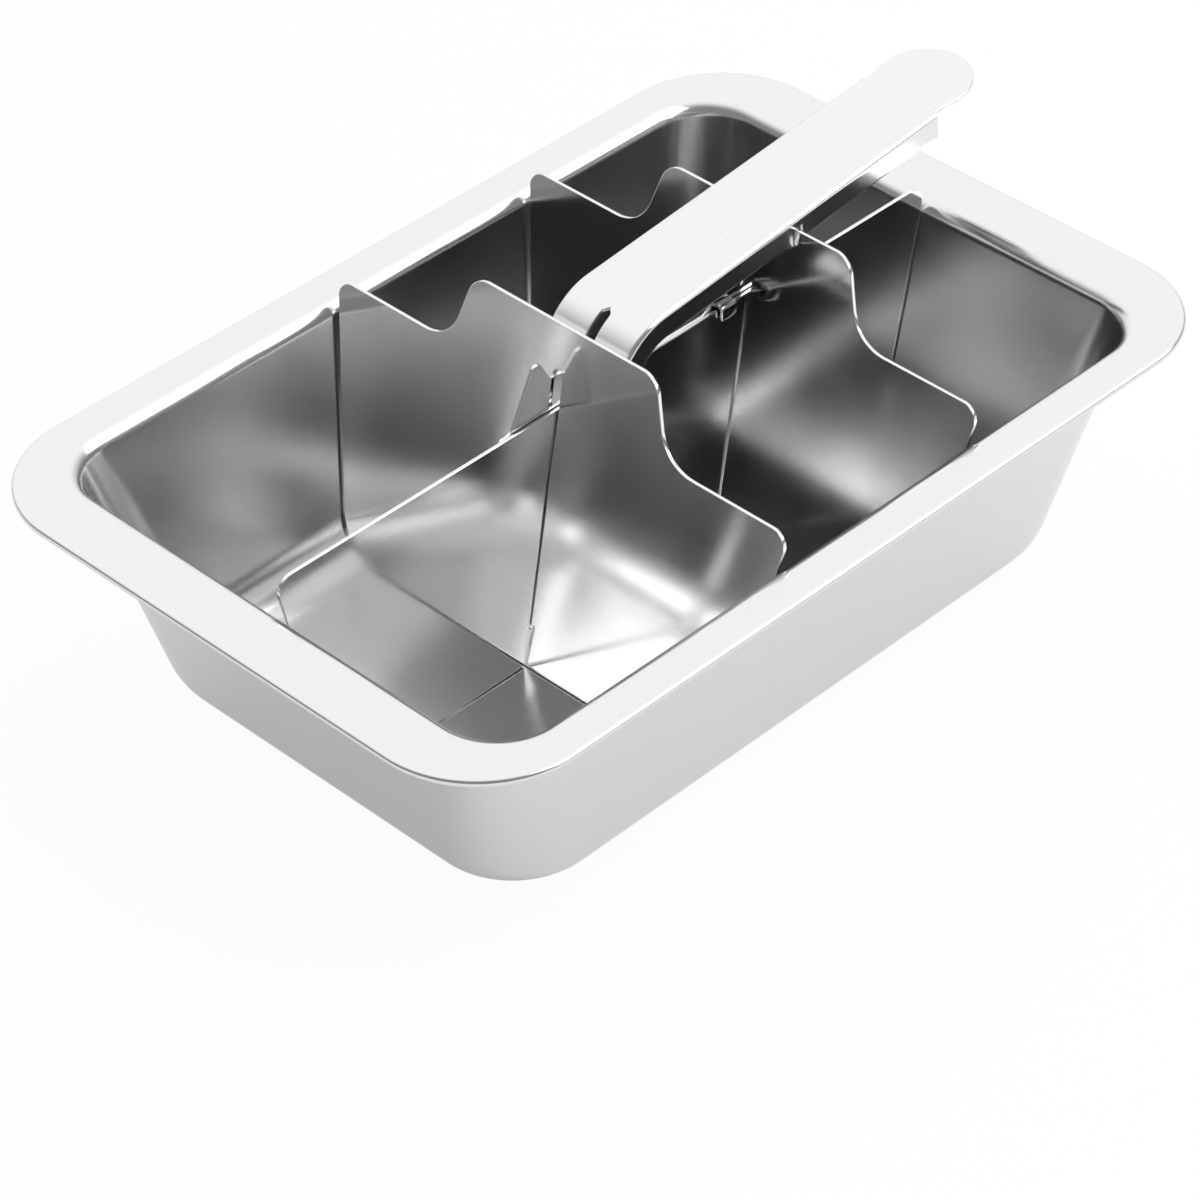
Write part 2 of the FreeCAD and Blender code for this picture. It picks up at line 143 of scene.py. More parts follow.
@dataclass(frozen=True)
class SteelFinish:
    """Polished stainless sheet: a near mirror with fine grain, slow waves and faint smears."""

    name: str
    tint: tuple[float, float, float] = (0.79, 0.79, 0.792)
    roughness: float = 0.2
    grain_along: tuple[float, float, float] = (1.0, 1.0, 1.0)
    roughness_spread: float = 0.02
    darkest: float = 0.965
    grain_scale: float = 1400.0
    grain_detail: float = 3.0
    grain_roughness: float = 0.55
    grain_height: float = 0.0004
    grain_range: tuple[float, float] = (0.25, 0.75)
    wave_scale: float = 14.0
    wave_detail: float = 1.0
    wave_height: float = 0.0015
    smear_scale: float = 56.0
    smear_detail: float = 4.0
    smear_range: tuple[float, float] = (0.3, 0.7)

    def noise(self, graph: Graph, inputs: dict[str | int, object]) -> bpy.types.NodeSocket:
        """Adds a noise and gives its level."""
        return graph.add("TexNoise", inputs).outputs["Fac"]

    def material(self) -> bpy.types.Material:
        """Builds the node tree.

        Returns:
            The finished material.
        """
        made = bpy.data.materials.new(self.name)
        made.use_nodes = True
        graph = Graph(made.node_tree)
        place = graph.add("TexCoord", {}).outputs["Object"]
        stretch = graph.add("Mapping", {"Vector": place, "Scale": self.grain_along})
        grain_look = {
            "Vector": stretch,
            "Scale": self.grain_scale,
            "Detail": self.grain_detail,
            "Roughness": self.grain_roughness,
        }
        grain = self.noise(graph, grain_look)
        wave = self.noise(graph, {"Vector": place, "Scale": self.wave_scale, "Detail": self.wave_detail})
        smear = self.noise(graph, {"Vector": place, "Scale": self.smear_scale, "Detail": self.smear_detail})
        low, high = self.smear_range
        spread = {
            "Value": smear,
            "From Min": low,
            "From Max": high,
            "To Min": self.roughness - self.roughness_spread,
            "To Max": self.roughness + self.roughness_spread,
        }
        rough = graph.add("MapRange", spread)
        colour = graph.add("ValToRGB", {"Fac": grain})
        ends = colour.color_ramp.elements
        ends[0].position, ends[1].position = self.grain_range
        ends[0].color = (*[self.darkest * channel for channel in self.tint], 1.0)
        ends[1].color = (*self.tint, 1.0)
        fine = {"Strength": 1.0, "Distance": self.grain_height * MM, "Height": grain}
        fine_bump = graph.add("Bump", fine)
        slow = {"Strength": 1.0, "Distance": self.wave_height * MM, "Height": wave, "Normal": fine_bump}
        surface = {
            "Metallic": 1.0,
            "Roughness": rough,
            "Base Color": colour,
            "Normal": graph.add("Bump", slow),
        }
        graph.wire(made.node_tree.nodes["Principled BSDF"], surface)
        return made


def new_object(name: str, points: Array, faces: Sequence[Sequence[int]]) -> bpy.types.Object:
    """Puts a mesh into the scene.

    Args:
        name: name of the piece.
        points: array of positions in metres, one row each.
        faces: corner numbers of each face.

    Returns:
        The new object, at the origin.
    """
    mesh = bpy.data.meshes.new(name)
    mesh.from_pydata(points.tolist(), [], faces)
    mesh.validate()
    mesh.update()
    made = bpy.data.objects.new(name, mesh)
    bpy.context.scene.collection.objects.link(made)
    return made


def grid_faces(rows: int, columns: int, wrap: bool) -> Array:
    """Corner numbers of the quads of a grid.

    Face (i, j) joins points (i, j), (i, j+1), (i+1, j+1), (i+1, j).

    Args:
        rows: number of rows of points.
        columns: number of points in a row.
        wrap: joins the last column to the first.

    Returns:
        Array of quads.
    """
    last = columns if wrap else columns - 1
    i, j = np.meshgrid(np.arange(rows - 1), np.arange(last), indexing="ij")
    k = (j + 1) % columns
    here, there = i * columns, (i + 1) * columns
    return np.stack([here + j, here + k, there + k, there + j], -1).reshape(-1, 4)


def smooth_above(piece: bpy.types.Object, degrees: float) -> None:
    """Shades a piece smooth, with hard edges where faces turn more than the angle.

    Args:
        piece: the object.
        degrees: the angle above which an edge stays sharp.
    """
    mesh = piece.data
    mesh.polygons.foreach_set("use_smooth", np.ones(len(mesh.polygons), bool))
    mesh.set_sharp_from_angle(angle=math.radians(degrees))
    mesh.update()


def smooth_step(t: Array) -> Array:
    """Eases a ramp that is cut off at 0 and 1: t^2 (3 - 2 t)."""
    t = np.clip(t, 0, 1)
    return t * t * (3.0 - 2.0 * t)


def clean_mesh(piece: bpy.types.Object, reach: float = 0.0, outward: bool = True) -> None:
    """Merges points that lie together, drops faces without area and turns the rest outward.

    Args:
        piece: the object.
        reach: distance in metres within which points merge, or 0 to merge none.
        outward: whether the piece is closed and its faces turn outward.
    """
    work = bmesh.new()
    work.from_mesh(piece.data)
    if reach:
        bmesh.ops.remove_doubles(work, verts=work.verts, dist=reach)
        bmesh.ops.dissolve_degenerate(work, edges=work.edges, dist=0.1 * reach)
    if outward:
        bmesh.ops.recalc_face_normals(work, faces=work.faces)
    work.to_mesh(piece.data)
    work.free()
    piece.data.update()


def read_all(items: bpy.types.bpy_prop_collection, name: str, width: int = 1, kind: type = int) -> Array:
    """Reads one property of all items of a mesh.

    Args:
        items: its vertices, edges, loops, polygons or normals.
        name: the property.
        width: how many numbers it holds.
        kind: type of the numbers.

    Returns:
        One number for each item, or one row.
    """
    values = np.empty(len(items) * width, kind)
    items.foreach_get(name, values)
    return values.reshape(-1, width) if width > 1 else values


def rounded_outline(corners: Sequence[Corner], steps: int = 10) -> Array:
    """Closed outline with tangent arcs at its corners.

    A corner P with unit directions a, b to its neighbours and half angle h has its arc's centre at
    P + (a + b) / |a + b| * r / sin h, and the arc starts at P + a * r / tan h.

    Args:
        corners: (x, y, radius) of each corner, in order.
        steps: points on each arc less one.

    Returns:
        Array of (x, y).
    """
    table = np.array(corners, float)
    point, radius = table[:, :2], table[:, 2]
    before = np.roll(point, 1, 0) - point
    after = np.roll(point, -1, 0) - point
    before /= np.linalg.norm(before, axis=1)[:, None]
    after /= np.linalg.norm(after, axis=1)[:, None]
    half = 0.5 * np.arccos(np.clip((before * after).sum(1), -1, 1))
    middle = before + after
    middle /= np.linalg.norm(middle, axis=1)[:, None]
    centre = point + middle * (radius / np.sin(half))[:, None]
    start = point + before * (radius / np.tan(half))[:, None] - centre
    end = point + after * (radius / np.tan(half))[:, None] - centre
    share = np.linspace(0.0, 1.0, steps + 1)[None, :, None]
    sweep = np.where(radius > 0, np.pi - 2 * half, 1.0)[:, None, None]
    first = np.sin((1 - share) * sweep) / np.sin(sweep)
    second = np.sin(share * sweep) / np.sin(sweep)
    arcs = centre[:, None, :] + first * start[:, None, :] + second * end[:, None, :]
    pieces = [arc if size > 0 else corner[None, :] for arc, size, corner in zip(arcs, radius, point)]
    return np.vstack(pieces)


def circle(axis: Axis, radius: float, steps: int = 32) -> Array:
    """Clockwise circle of (x, z) about an axis, for a hole."""
    turn = -2 * math.pi * np.arange(steps) / steps
    return np.stack([axis.x + radius * np.cos(turn), axis.z + radius * np.sin(turn)], -1)


@dataclass(frozen=True)
class Workshop:
    """Gives each piece its finish, its body and its slot."""

    finishes: dict[Slot, bpy.types.Material]

    def dress(self, piece: bpy.types.Object, slot: Slot, body: Body, node: str) -> bpy.types.Object:
        """Dresses a piece and puts it in the place of its node.

        Args:
            piece: the new object.
            slot: the record's slot that it belongs to.
            body: the body that it rides on.
            node: the node that it stands for.

        Returns:
            The same piece.
        """
        piece.data.materials.append(self.finishes[slot])
        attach(piece, body.value)
        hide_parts(node)
        LOG.info("%s rides on %s", piece.name, body.value)
        return piece


@dataclass(frozen=True)
class Walls:
    """Inner walls of the tray, which the grid follows too."""

    top: float = RIM_TOP - 3.0
    top_half: tuple[float, float] = (90.2, 60.4)
    draft: tuple[float, float] = (12.5, 9.8)
    top_corner: float = 13.0
    floor_corner: float = 18.5
    sheet: float = 0.8

    def half(self, z: Array | float, axis: int) -> Array | float:
        """Half size of the plain wall, along (0) or across (1): h_top - (z_top - z) tan(draft)."""
        return self.top_half[axis] - (self.top - z) * math.tan(math.radians(self.draft[axis]))

    def corner(self, z: Array) -> Array:
        """Corner radius in plan, which grows evenly from the top to the floor."""
        share = (self.top - z) / (self.top - self.sheet)
        return self.top_corner + share * (self.floor_corner - self.top_corner)


@dataclass(frozen=True)
class Face:
    """One face of the pan's sheet: a foot of radius foot on the level low, and a flare of radius
    neck under the level top, at the distance outset from the inner wall."""

    outset: float
    foot: float
    low: float
    neck: float
    top: float


@dataclass(frozen=True)
class TrayPan:
    """Drawn pan with drafted walls, a rounded floor and a hemmed flat rim."""

    walls: Walls
    length: float = 210.0
    width: float = 141.0
    rim_corner: float = 23.6
    hem: float = 1.7
    hem_bend: float = 0.816
    hem_width: float = 3.2
    hem_soft: float = 0.25
    floor_radius: float = 10.3
    rim_radius: float = 3.4
    corner_steps: int = 28
    side_steps: int = 24
    foot_steps: int = 18
    wall_steps: int = 12
    neck_steps: int = 14
    hem_steps: int = 16
    rim_shares: tuple[float, ...] = (0.35, 0.7)
    floor_shares: tuple[float, ...] = (0.004, 0.2, 0.4, 0.6, 0.8, 0.93)
    sharp: float = 40.0

    def half(self, z: Array, axis: int, face: Face) -> Array:
        """Half size of a wall with a rounded foot and a flared top.

        The foot is a circle of radius R on the level low: h = c + sqrt(R^2 - (z - low - R)^2), with
        c = wall(low + R) - R / cos(draft); the neck is its mirror under the level top.

        Args:
            z: heights.
            axis: 0 along, 1 across.
            face: the face of the sheet.

        Returns:
            Half sizes at the heights.
        """
        slant = math.radians(self.walls.draft[axis])
        straight = self.walls.half(z, axis) + face.outset
        foot_z = face.low + face.foot
        foot_mid = self.walls.half(foot_z, axis) + face.outset - face.foot / math.cos(slant)
        foot_arc = foot_mid + np.sqrt(np.maximum(face.foot**2 - (z - foot_z) ** 2, 0.0))
        neck_z = face.top - face.neck
        neck_mid = self.walls.half(neck_z, axis) + face.outset + face.neck / math.cos(slant)
        neck_arc = neck_mid - np.sqrt(np.maximum(face.neck**2 - (z - neck_z) ** 2, 0.0))
        shape = np.where(z < foot_z - face.foot * math.sin(slant), foot_arc, straight)
        return np.where(z > neck_z + face.neck * math.sin(slant), neck_arc, shape)

    def wall_rings(self, face: Face) -> Array:
        """Rings of one face of the sheet, from its foot to its flare.

        Args:
            face: the face of the sheet.

        Returns:
            Rows of (half length, half width, corner radius, height).
        """
        foot_turn = np.linspace(0.0, QUARTER, self.foot_steps + 1)
        neck_turn = np.linspace(0.0, QUARTER, self.neck_steps + 1)
        foot_z = face.low + face.foot * (1 - np.cos(foot_turn))
        wall_z = np.linspace(face.low + face.foot, face.top - face.neck, self.wall_steps + 1)[1:-1]
        neck_z = face.top - face.neck + face.neck * np.sin(neck_turn)
        z = np.concatenate([foot_z, wall_z, neck_z])
        hx, hy = self.half(z, 0, face), self.half(z, 1, face)
        shift = 0.5 * (hx - self.walls.half(z, 0) + hy - self.walls.half(z, 1))
        return np.stack([hx, hy, self.walls.corner(z) + shift, z], -1)

    def rim_rings(self) -> Array:
        """Rings over the rounded hem, from the flat of the rim to the underside of the flange.

        Returns:
            Rows of (half length, half width, corner radius, height).
        """
        bend, soft, hem_in = self.hem_bend, self.hem_soft, -self.hem_width
        turn = np.linspace(QUARTER, -QUARTER, self.hem_steps + 1)
        straight = (0.5 * self.hem - bend) * np.sign(np.sin(turn))
        edge_z = RIM_TOP - 0.5 * self.hem + straight + bend * np.sin(turn)
        under, inner_top = RIM_TOP - self.hem, RIM_TOP - self.walls.sheet
        fold = [hem_in + soft, hem_in, hem_in, hem_in - soft]
        inset = np.concatenate([-bend + bend * np.cos(turn), fold])
        z = np.concatenate([edge_z, [under, under + soft, inner_top - soft, inner_top]])
        hx, hy = 0.5 * self.length + inset, 0.5 * self.width + inset
        return np.stack([hx, hy, self.rim_corner + inset, z], -1)

    def floor(self, edge: Array) -> Array:
        """Rings of a flat floor from the middle outward, each a smaller copy of its edge."""
        rings = edge[None, :] * np.array(self.floor_shares)[:, None]
        rings[:, 3] = edge[3]
        return rings

    def profile(self) -> Array:
        """Rings of the whole skin from the inner floor over the rim to the underside.

        Returns:
            Rows of (half length, half width, corner radius, height).
        """
        sheet = self.walls.sheet
        inner = self.wall_rings(Face(0.0, self.floor_radius, sheet, self.rim_radius, RIM_TOP))
        below = Face(sheet, self.floor_radius + sheet, 0.0, self.rim_radius - sheet, RIM_TOP - sheet)
        outer = self.wall_rings(below)[::-1]
        rim = self.rim_rings()
        flat = inner[-1] + np.array(self.rim_shares)[:, None] * (rim[0] - inner[-1])
        return np.vstack([self.floor(inner[0]), inner, flat, rim, outer, self.floor(outer[-1])[::-1]])

    def rings_to_points(self, rings: Array) -> Array:
        """Places rings of rounded rectangles.

        A corner point is (s_x (h_x - r) + r cos a, s_y (h_y - r) + r sin a), and the sides run straight
        between the corners' ends.

        Args:
            rings: rows of (half length, half width, corner radius, height).

        Returns:
            Array of points, ring by ring, in metres.
        """
        sign = np.array([[1, 1], [-1, 1], [-1, -1], [1, -1]], float)
        start = np.arange(4) * QUARTER
        bend = start[:, None] + np.linspace(0, QUARTER, self.corner_steps + 1)[None, :]
        hx, hy, radius, z = (rings[:, k][:, None, None] for k in range(4))
        x = sign[:, 0][None, :, None] * (hx - radius) + radius * np.cos(bend)[None]
        y = sign[:, 1][None, :, None] * (hy - radius) + radius * np.sin(bend)[None]
        share = np.linspace(0, 1, self.side_steps + 1)[1:-1][None, None, :]
        side_x = x[:, :, -1:] * (1 - share) + np.roll(x, -1, 1)[:, :, :1] * share
        side_y = y[:, :, -1:] * (1 - share) + np.roll(y, -1, 1)[:, :, :1] * share
        x = np.concatenate([x, side_x], -1).reshape(len(rings), -1)
        y = np.concatenate([y, side_y], -1).reshape(len(rings), -1)
        return np.stack([x, y, np.broadcast_to(z[:, :, 0], x.shape)], -1) * MM

    def build(self, shop: Workshop) -> bpy.types.Object:
        """Builds the pan.

        Args:
            shop: gives the piece its finish.

        Returns:
            The pan.
        """
        points = self.rings_to_points(self.profile())
        rows, columns = points.shape[:2]
        faces = grid_faces(rows, columns, True).tolist()
        ring = np.arange(columns)
        faces += [ring[::-1].tolist(), (ring + (rows - 1) * columns).tolist()]
        piece = new_object("pan_skin", points.reshape(-1, 3), faces)
        clean_mesh(piece, 1e-7)
        smooth_above(piece, self.sharp)
        return shop.dress(piece, Slot.PAN, Body.PAN, "tray_pan")


@dataclass(frozen=True)
class CutSheet:
    """Flat sheet cut to outlines, its cut edges softly rounded.

    The rounded edge is a profile of (inset, level) pairs that is carried along every outline:
    level = +-(t/2 - e + e sin(a)) and inset = e (1 - cos(a)), for a sheet t thick with an edge radius e.
    """

    name: str
    loops: list[Array]
    thickness: float
    edge: float
    edge_steps: int = 5
    least_bend: float = 0.25

    def edge_profile(self) -> Array:
        """Cross-section of the cut edge from one face to the other.

        Returns:
            Rows of (inset, level).
        """
        turn = np.linspace(0, QUARTER, self.edge_steps)
        level = 0.5 * self.thickness - self.edge + self.edge * np.sin(turn)
        upper = np.stack([self.edge * (1 - np.cos(turn)), level], -1)
        return np.vstack([upper[::-1] * np.array([1.0, -1.0]), upper])

    def loop_rings(self, loop: Array) -> Array:
        """Carries the edge profile along one outline.

        Args:
            loop: closed outline with the sheet on its left, rows of (a, b).

        Returns:
            Array of rings of (a, b, level).
        """
        ahead = np.roll(loop, -1, 0) - loop
        ahead /= np.linalg.norm(ahead, axis=1)[:, None]
        behind = np.roll(ahead, 1, 0)
        out = np.stack([ahead[:, 1] + behind[:, 1], -ahead[:, 0] - behind[:, 0]], -1)
        bend = 0.5 * (1 + (ahead * behind).sum(1))
        out /= 2 * np.maximum(bend, self.least_bend)[:, None]
        profile = self.edge_profile()
        flat = loop[None] - profile[:, 0][:, None, None] * out[None]
        level = np.broadcast_to(profile[:, 1][:, None, None], flat.shape[:2] + (1,))
        return np.concatenate([flat, level], -1)

    def mesh_data(self) -> tuple[Array, list[list[int]], int]:
        """Points and faces of the whole sheet.

        Returns:
            Points as (a, b, level), faces, and the number of faces in the two flat sides.
        """
        points, faces, lows, highs = [], [], [], []
        first = 0
        for loop in self.loops:
            rings = self.loop_rings(loop)
            rows, columns = rings.shape[:2]
            points.append(rings.reshape(-1, 3))
            faces += (grid_faces(rows, columns, True) + first).tolist()
            lows.append(first + np.arange(columns))
            highs.append(lows[-1] + (rows - 1) * columns)
            first += rows * columns
        points = np.vstack(points)
        pressed = points * np.array([1.0, 1.0, 0.0])
        sides = []
        for rims, order in ((lows, 1), (highs, -1)):
            numbers = np.concatenate(rims)
            triangles = np.array(tessellate_polygon([pressed[rim].tolist() for rim in rims]))
            sides += numbers[triangles][:, ::order].tolist()
        return points, faces + sides, len(sides)

    def build(self, place: Callable[[Array], Array]) -> bpy.types.Object:
        """Builds the sheet.

        Args:
            place: turns rows of (a, b, level) into points in metres.

        Returns:
            The sheet.
        """
        points, faces, flat_count = self.mesh_data()
        piece = new_object(self.name, place(points), faces)
        smooth = np.arange(len(faces)) < len(faces) - flat_count
        piece.data.polygons.foreach_set("use_smooth", smooth)
        clean_mesh(piece)
        return piece


def upright(y: float) -> Callable[[Array], Array]:
    """Gives the placing of a sheet that stands along the tray.

    Args:
        y: level of the sheet's middle plane across the tray.

    Returns:
        Function from (x, z, level) rows to points in metres.
    """

    def place(rows: Array) -> Array:
        """Puts (x, z, level) at (x, y + level, z)."""
        return np.stack([rows[:, 0], y + rows[:, 2], rows[:, 1]], -1) * MM

    return place


@dataclass(frozen=True)
class CrossBlade:
    """Cross blade: low shoulders, a high middle hump and a closed slot for the divider."""

    name: str
    node: str
    body: Body
    walls: Walls
    foot_x: float
    foot_z: float = 1.2
    tilt: float = 10.3
    thickness: float = 0.9
    edge: float = 0.12
    end_gap: float = 0.55
    top_gap: float = 0.6
    foot_corner: float = 10.6
    shoulder: float = 59.3
    shoulder_corner: float = 3.4
    valley_half: float = 29.3
    valley_corner: float = 9.0
    hump: float = 76.0
    hump_half: float = 24.3
    hump_corner: float = 5.0
    slot_half: float = 1.25
    slot_foot: float = 7.9
    slot_head: float = 66.4
    slot_corner: float = 0.8
    slot_steps: int = 4

    def half_width(self, height: float) -> float:
        """Half width at a height along the blade, just inside the tray's walls."""
        z = self.foot_z + height * math.cos(math.radians(self.tilt))
        return self.walls.half(z, 1) - self.end_gap

    def loops(self) -> list[Array]:
        """Outline and slot.

        Returns:
            Arrays of (y, height).
        """
        right = [
            (self.half_width(0.0), 0.0, self.foot_corner),
            (self.half_width(self.shoulder) - self.top_gap, self.shoulder, self.shoulder_corner),
            (self.valley_half, self.shoulder, self.valley_corner),
            (self.hump_half, self.hump, self.hump_corner),
        ]
        left = [(-y, height, radius) for y, height, radius in reversed(right)]
        half, foot, head = self.slot_half, self.slot_foot, self.slot_head
        slot = [(-half, foot), (-half, head), (half, head), (half, foot)]
        slot_corners = [(*spot, self.slot_corner) for spot in slot]
        return [rounded_outline(right + left), rounded_outline(slot_corners, self.slot_steps)]

    def place(self, rows: Array) -> Array:
        """Leans the flat blade back: x = x0 + h sin(t) + c cos(t), z = z0 + h cos(t) - c sin(t).

        Args:
            rows: (y, height, level).

        Returns:
            Points in metres.
        """
        slant = math.radians(self.tilt)
        y, height, level = rows.T
        x = self.foot_x + height * math.sin(slant) + level * math.cos(slant)
        z = self.foot_z + height * math.cos(slant) - level * math.sin(slant)
        return np.stack([x, y, z], -1) * MM

    def build(self, shop: Workshop) -> bpy.types.Object:
        """Builds the blade with the finish that the shop gives it."""
        piece = CutSheet(self.name, self.loops(), self.thickness, self.edge).build(self.place)
        return shop.dress(piece, Slot.BLADE, self.body, self.node)


@dataclass(frozen=True)
class Divider:
    """Long upright wall on the centre line."""

    walls: Walls
    y: float = -0.5
    thickness: float = 0.8
    edge: float = 0.11
    foot: float = 1.2
    top: float = 58.4
    wall_gap: float = 0.6
    front_short: float = 2.4
    foot_corner: float = 10.6
    top_corner: float = 3.6
    blade_feet: tuple[float, float] = (-25.5, 28.3)
    notch_foot: tuple[float, float] = (-0.85, 1.23)
    notch_head: tuple[float, float] = (-0.4, 2.4)
    notch_top: float = 10.0
    notch_corner: float = 1.0
    axle_hole: float = 1.5

    def outline(self) -> Array:
        """Outline with the two foot notches.

        Returns:
            Array of (x, z).
        """
        end_foot = self.walls.half(self.foot, 0) - self.wall_gap
        end_top = self.walls.half(self.top, 0) - self.wall_gap
        corners = [(-end_foot + self.front_short, self.foot, self.foot_corner)]
        for foot_x in self.blade_feet:
            corners += [
                (foot_x + self.notch_foot[0], self.foot, 0.0),
                (foot_x + self.notch_head[0], self.notch_top, self.notch_corner),
                (foot_x + self.notch_head[1], self.notch_top, self.notch_corner),
                (foot_x + self.notch_foot[1], self.foot, 0.0),
            ]
        corners += [
            (end_foot, self.foot, self.foot_corner),
            (end_top, self.top, self.top_corner),
            (-end_top + self.front_short, self.top, self.top_corner),
        ]
        return rounded_outline(corners)

    def build(self, shop: Workshop) -> bpy.types.Object:
        """Builds the wall.

        Args:
            shop: gives the piece its finish.

        Returns:
            The wall.
        """
        loops = [self.outline(), circle(CAM, self.axle_hole)]
        piece = CutSheet("divider_sheet", loops, self.thickness, self.edge).build(upright(self.y))
        return shop.dress(piece, Slot.DIVIDER, Body.GRID, "divider_wall")


@dataclass(frozen=True)
class SlidePlate:
    """Thin racking plate beside the divider, with a tongue folded over the divider."""

    y: float = 0.5
    thickness: float = 0.8
    edge: float = 0.11
    low: float = -14.0
    top: float = 4.0
    tongue_x: tuple[float, float] = (29.5, 33.6)
    tongue_outer_y: float = -1.65
    tongue_top: float = 5.55
    tongue_end: float = 2.3
    tongue_edge: float = 0.14
    pin_hole: float = 1.55
    slot_x: tuple[float, float] = (-5.3, 4.5)
    slot_half: float = 1.73
    slot_corner: float = 1.71

    def outline(self) -> Array:
        """Outline with the tabs that stand before and behind each blade.

        Returns:
            Array of (x, z).
        """
        above_rim = [
            (-30.0, self.low, 2.0), (57.0, self.low, 2.0), (57.0, self.top, 1.0), (55.6, self.top, 1.0),
            (51.3, 19.0, 1.5), (42.6, 19.0, 1.0), (41.8, 11.6, 0.4), (37.6, 11.6, 0.8), (34.2, 18.4, 1.5),
            (27.6, self.top, 2.0), (3.0, self.top, 2.0), (-2.0, 10.6, 2.0), (-8.2, 10.6, 1.0),
            (-10.0, 17.0, 0.9), (-11.7, 17.0, 0.5), (-12.0, 11.6, 0.4), (-16.2, 11.6, 0.8),
            (-19.6, 18.4, 1.5), (-27.0, self.top, 2.0), (-30.0, self.top, 1.0),
        ]
        return rounded_outline([(x, RIM_TOP + z, radius) for x, z, radius in above_rim])

    def axle_slot(self) -> Array:
        """Clockwise slot of (x, z) that the axle runs in.

        Returns:
            Array of (x, z).
        """
        (front, back), low, high = self.slot_x, CAM.z - self.slot_half, CAM.z + self.slot_half
        spots = [(front, low), (front, high), (back, high), (back, low)]
        return rounded_outline([(*spot, self.slot_corner) for spot in spots], 6)

    def tongue_loop(self) -> Array:
        """Outline of the tongue seen along the tray: up from the plate, over the divider and down again.

        Returns:
            Array of (y, z).
        """
        half = 0.5 * self.thickness
        root_y, outer_y = self.y - 0.5 * half, self.tongue_outer_y
        top, end = RIM_TOP + self.tongue_top, RIM_TOP + self.tongue_end
        corners = [
            (root_y, top - self.thickness, 0.0),
            (root_y, top, 0.0),
            (outer_y - half, top, 0.75),
            (outer_y - half, end, 0.2),
            (outer_y + half, end, 0.2),
            (outer_y + half, top - self.thickness, 0.15),
        ]
        return rounded_outline(corners, 5)

    def build(self, shop: Workshop) -> list[bpy.types.Object]:
        """Builds the plate and its tongue.

        Args:
            shop: gives the pieces their finish.

        Returns:
            The pieces.
        """
        loops = [self.outline(), circle(PIN, self.pin_hole), self.axle_slot()]
        plate = CutSheet("slide_sheet", loops, self.thickness, self.edge).build(upright(self.y))
        front, back = self.tongue_x
        middle = 0.5 * (front + back)

        def across(rows: Array) -> Array:
            """Puts (y, z, level) at (middle + level, y, z)."""
            return np.stack([middle + rows[:, 2], rows[:, 0], rows[:, 1]], -1) * MM

        sheet = CutSheet("slide_tongue", [self.tongue_loop()], back - front, self.tongue_edge, 4)
        pieces = (plate, sheet.build(across))
        return [shop.dress(piece, Slot.DIVIDER, Body.SLIDE, "slide_plate") for piece in pieces]


def thicken(piece: bpy.types.Object, sheet: float, edge: float, steps: int = 4, most: float = 0.45) -> None:
    """Turns an open skin into a closed sheet with rounded edges.

    A point P with normal N gets a partner P - t N. At the rim, with T pointing out of the sheet in its
    plane, the section runs P - e (1 - cos a) T - (e - e sin a) N round both corners.

    Args:
        piece: the object, whose faces point outward.
        sheet: thickness t in metres.
        edge: radius e of the rim's corners in metres.
        steps: points on each corner less one.
        most: largest e as a share of the shortest inner edge at a point.
    """
    mesh = piece.data
    spot = read_all(mesh.vertices, "co", 3, float)
    normal = read_all(mesh.vertex_normals, "vector", 3, float)
    corner = read_all(mesh.loops, "vertex_index")
    side = read_all(mesh.loops, "edge_index")
    start = read_all(mesh.polygons, "loop_start")
    total = read_all(mesh.polygons, "loop_total")
    pair = read_all(mesh.edges, "vertices", 2)
    count = len(spot)

    uses = np.bincount(side, minlength=len(pair))
    after = np.arange(len(corner)) + 1
    after[start + total - 1] = start
    at_rim = uses[side] == 1
    first, second = corner[at_rim], corner[after][at_rim]
    along = spot[second] - spot[first]
    along /= np.linalg.norm(along, axis=1)[:, None]
    outward = np.cross(along, normal[first] + normal[second])
    outward /= np.linalg.norm(outward, axis=1)[:, None]
    toward = np.zeros((count, 3))
    np.add.at(toward, first, outward)
    np.add.at(toward, second, outward)
    toward *= (2.0 / np.maximum((toward**2).sum(1), 1.0))[:, None]

    inner = uses == 2
    span = np.linalg.norm(spot[pair[:, 0]] - spot[pair[:, 1]], axis=1)
    room = np.full(count, 1.0)
    for end in (0, 1):
        np.minimum.at(room, pair[inner, end], span[inner])
    soft = np.minimum(edge, most * room)[:, None]

    turn = np.linspace(QUARTER, 0.0, steps + 1)
    back = turn[::-1]
    inset = np.concatenate([1 - np.cos(turn), 1 - np.cos(back)])[:, None, None]
    sunk = np.concatenate([1 - np.sin(turn), np.sin(back) - 1])[:, None, None]
    base = np.repeat([0.0, sheet], steps + 1)[:, None, None]
    rings = spot - soft * toward * inset - normal * (base + soft * sunk)

    reverse = np.repeat(2 * start + total - 1, total) - np.arange(len(corner))
    level = count * np.arange(len(rings) - 1)[:, None]
    band = np.stack([second + level, first + level, first + level + count, second + level + count], -1)
    loops = np.concatenate([corner, corner[reverse] + count * (len(rings) - 1), band.ravel()])
    sizes = np.concatenate([total, total, np.full(band.size // 4, 4)])
    used, loops = np.unique(loops, return_inverse=True)
    faces = [part.tolist() for part in np.split(loops, np.cumsum(sizes)[:-1])]
    mesh.clear_geometry()
    mesh.from_pydata(rings.reshape(-1, 3)[used].tolist(), [], faces)
    mesh.update()


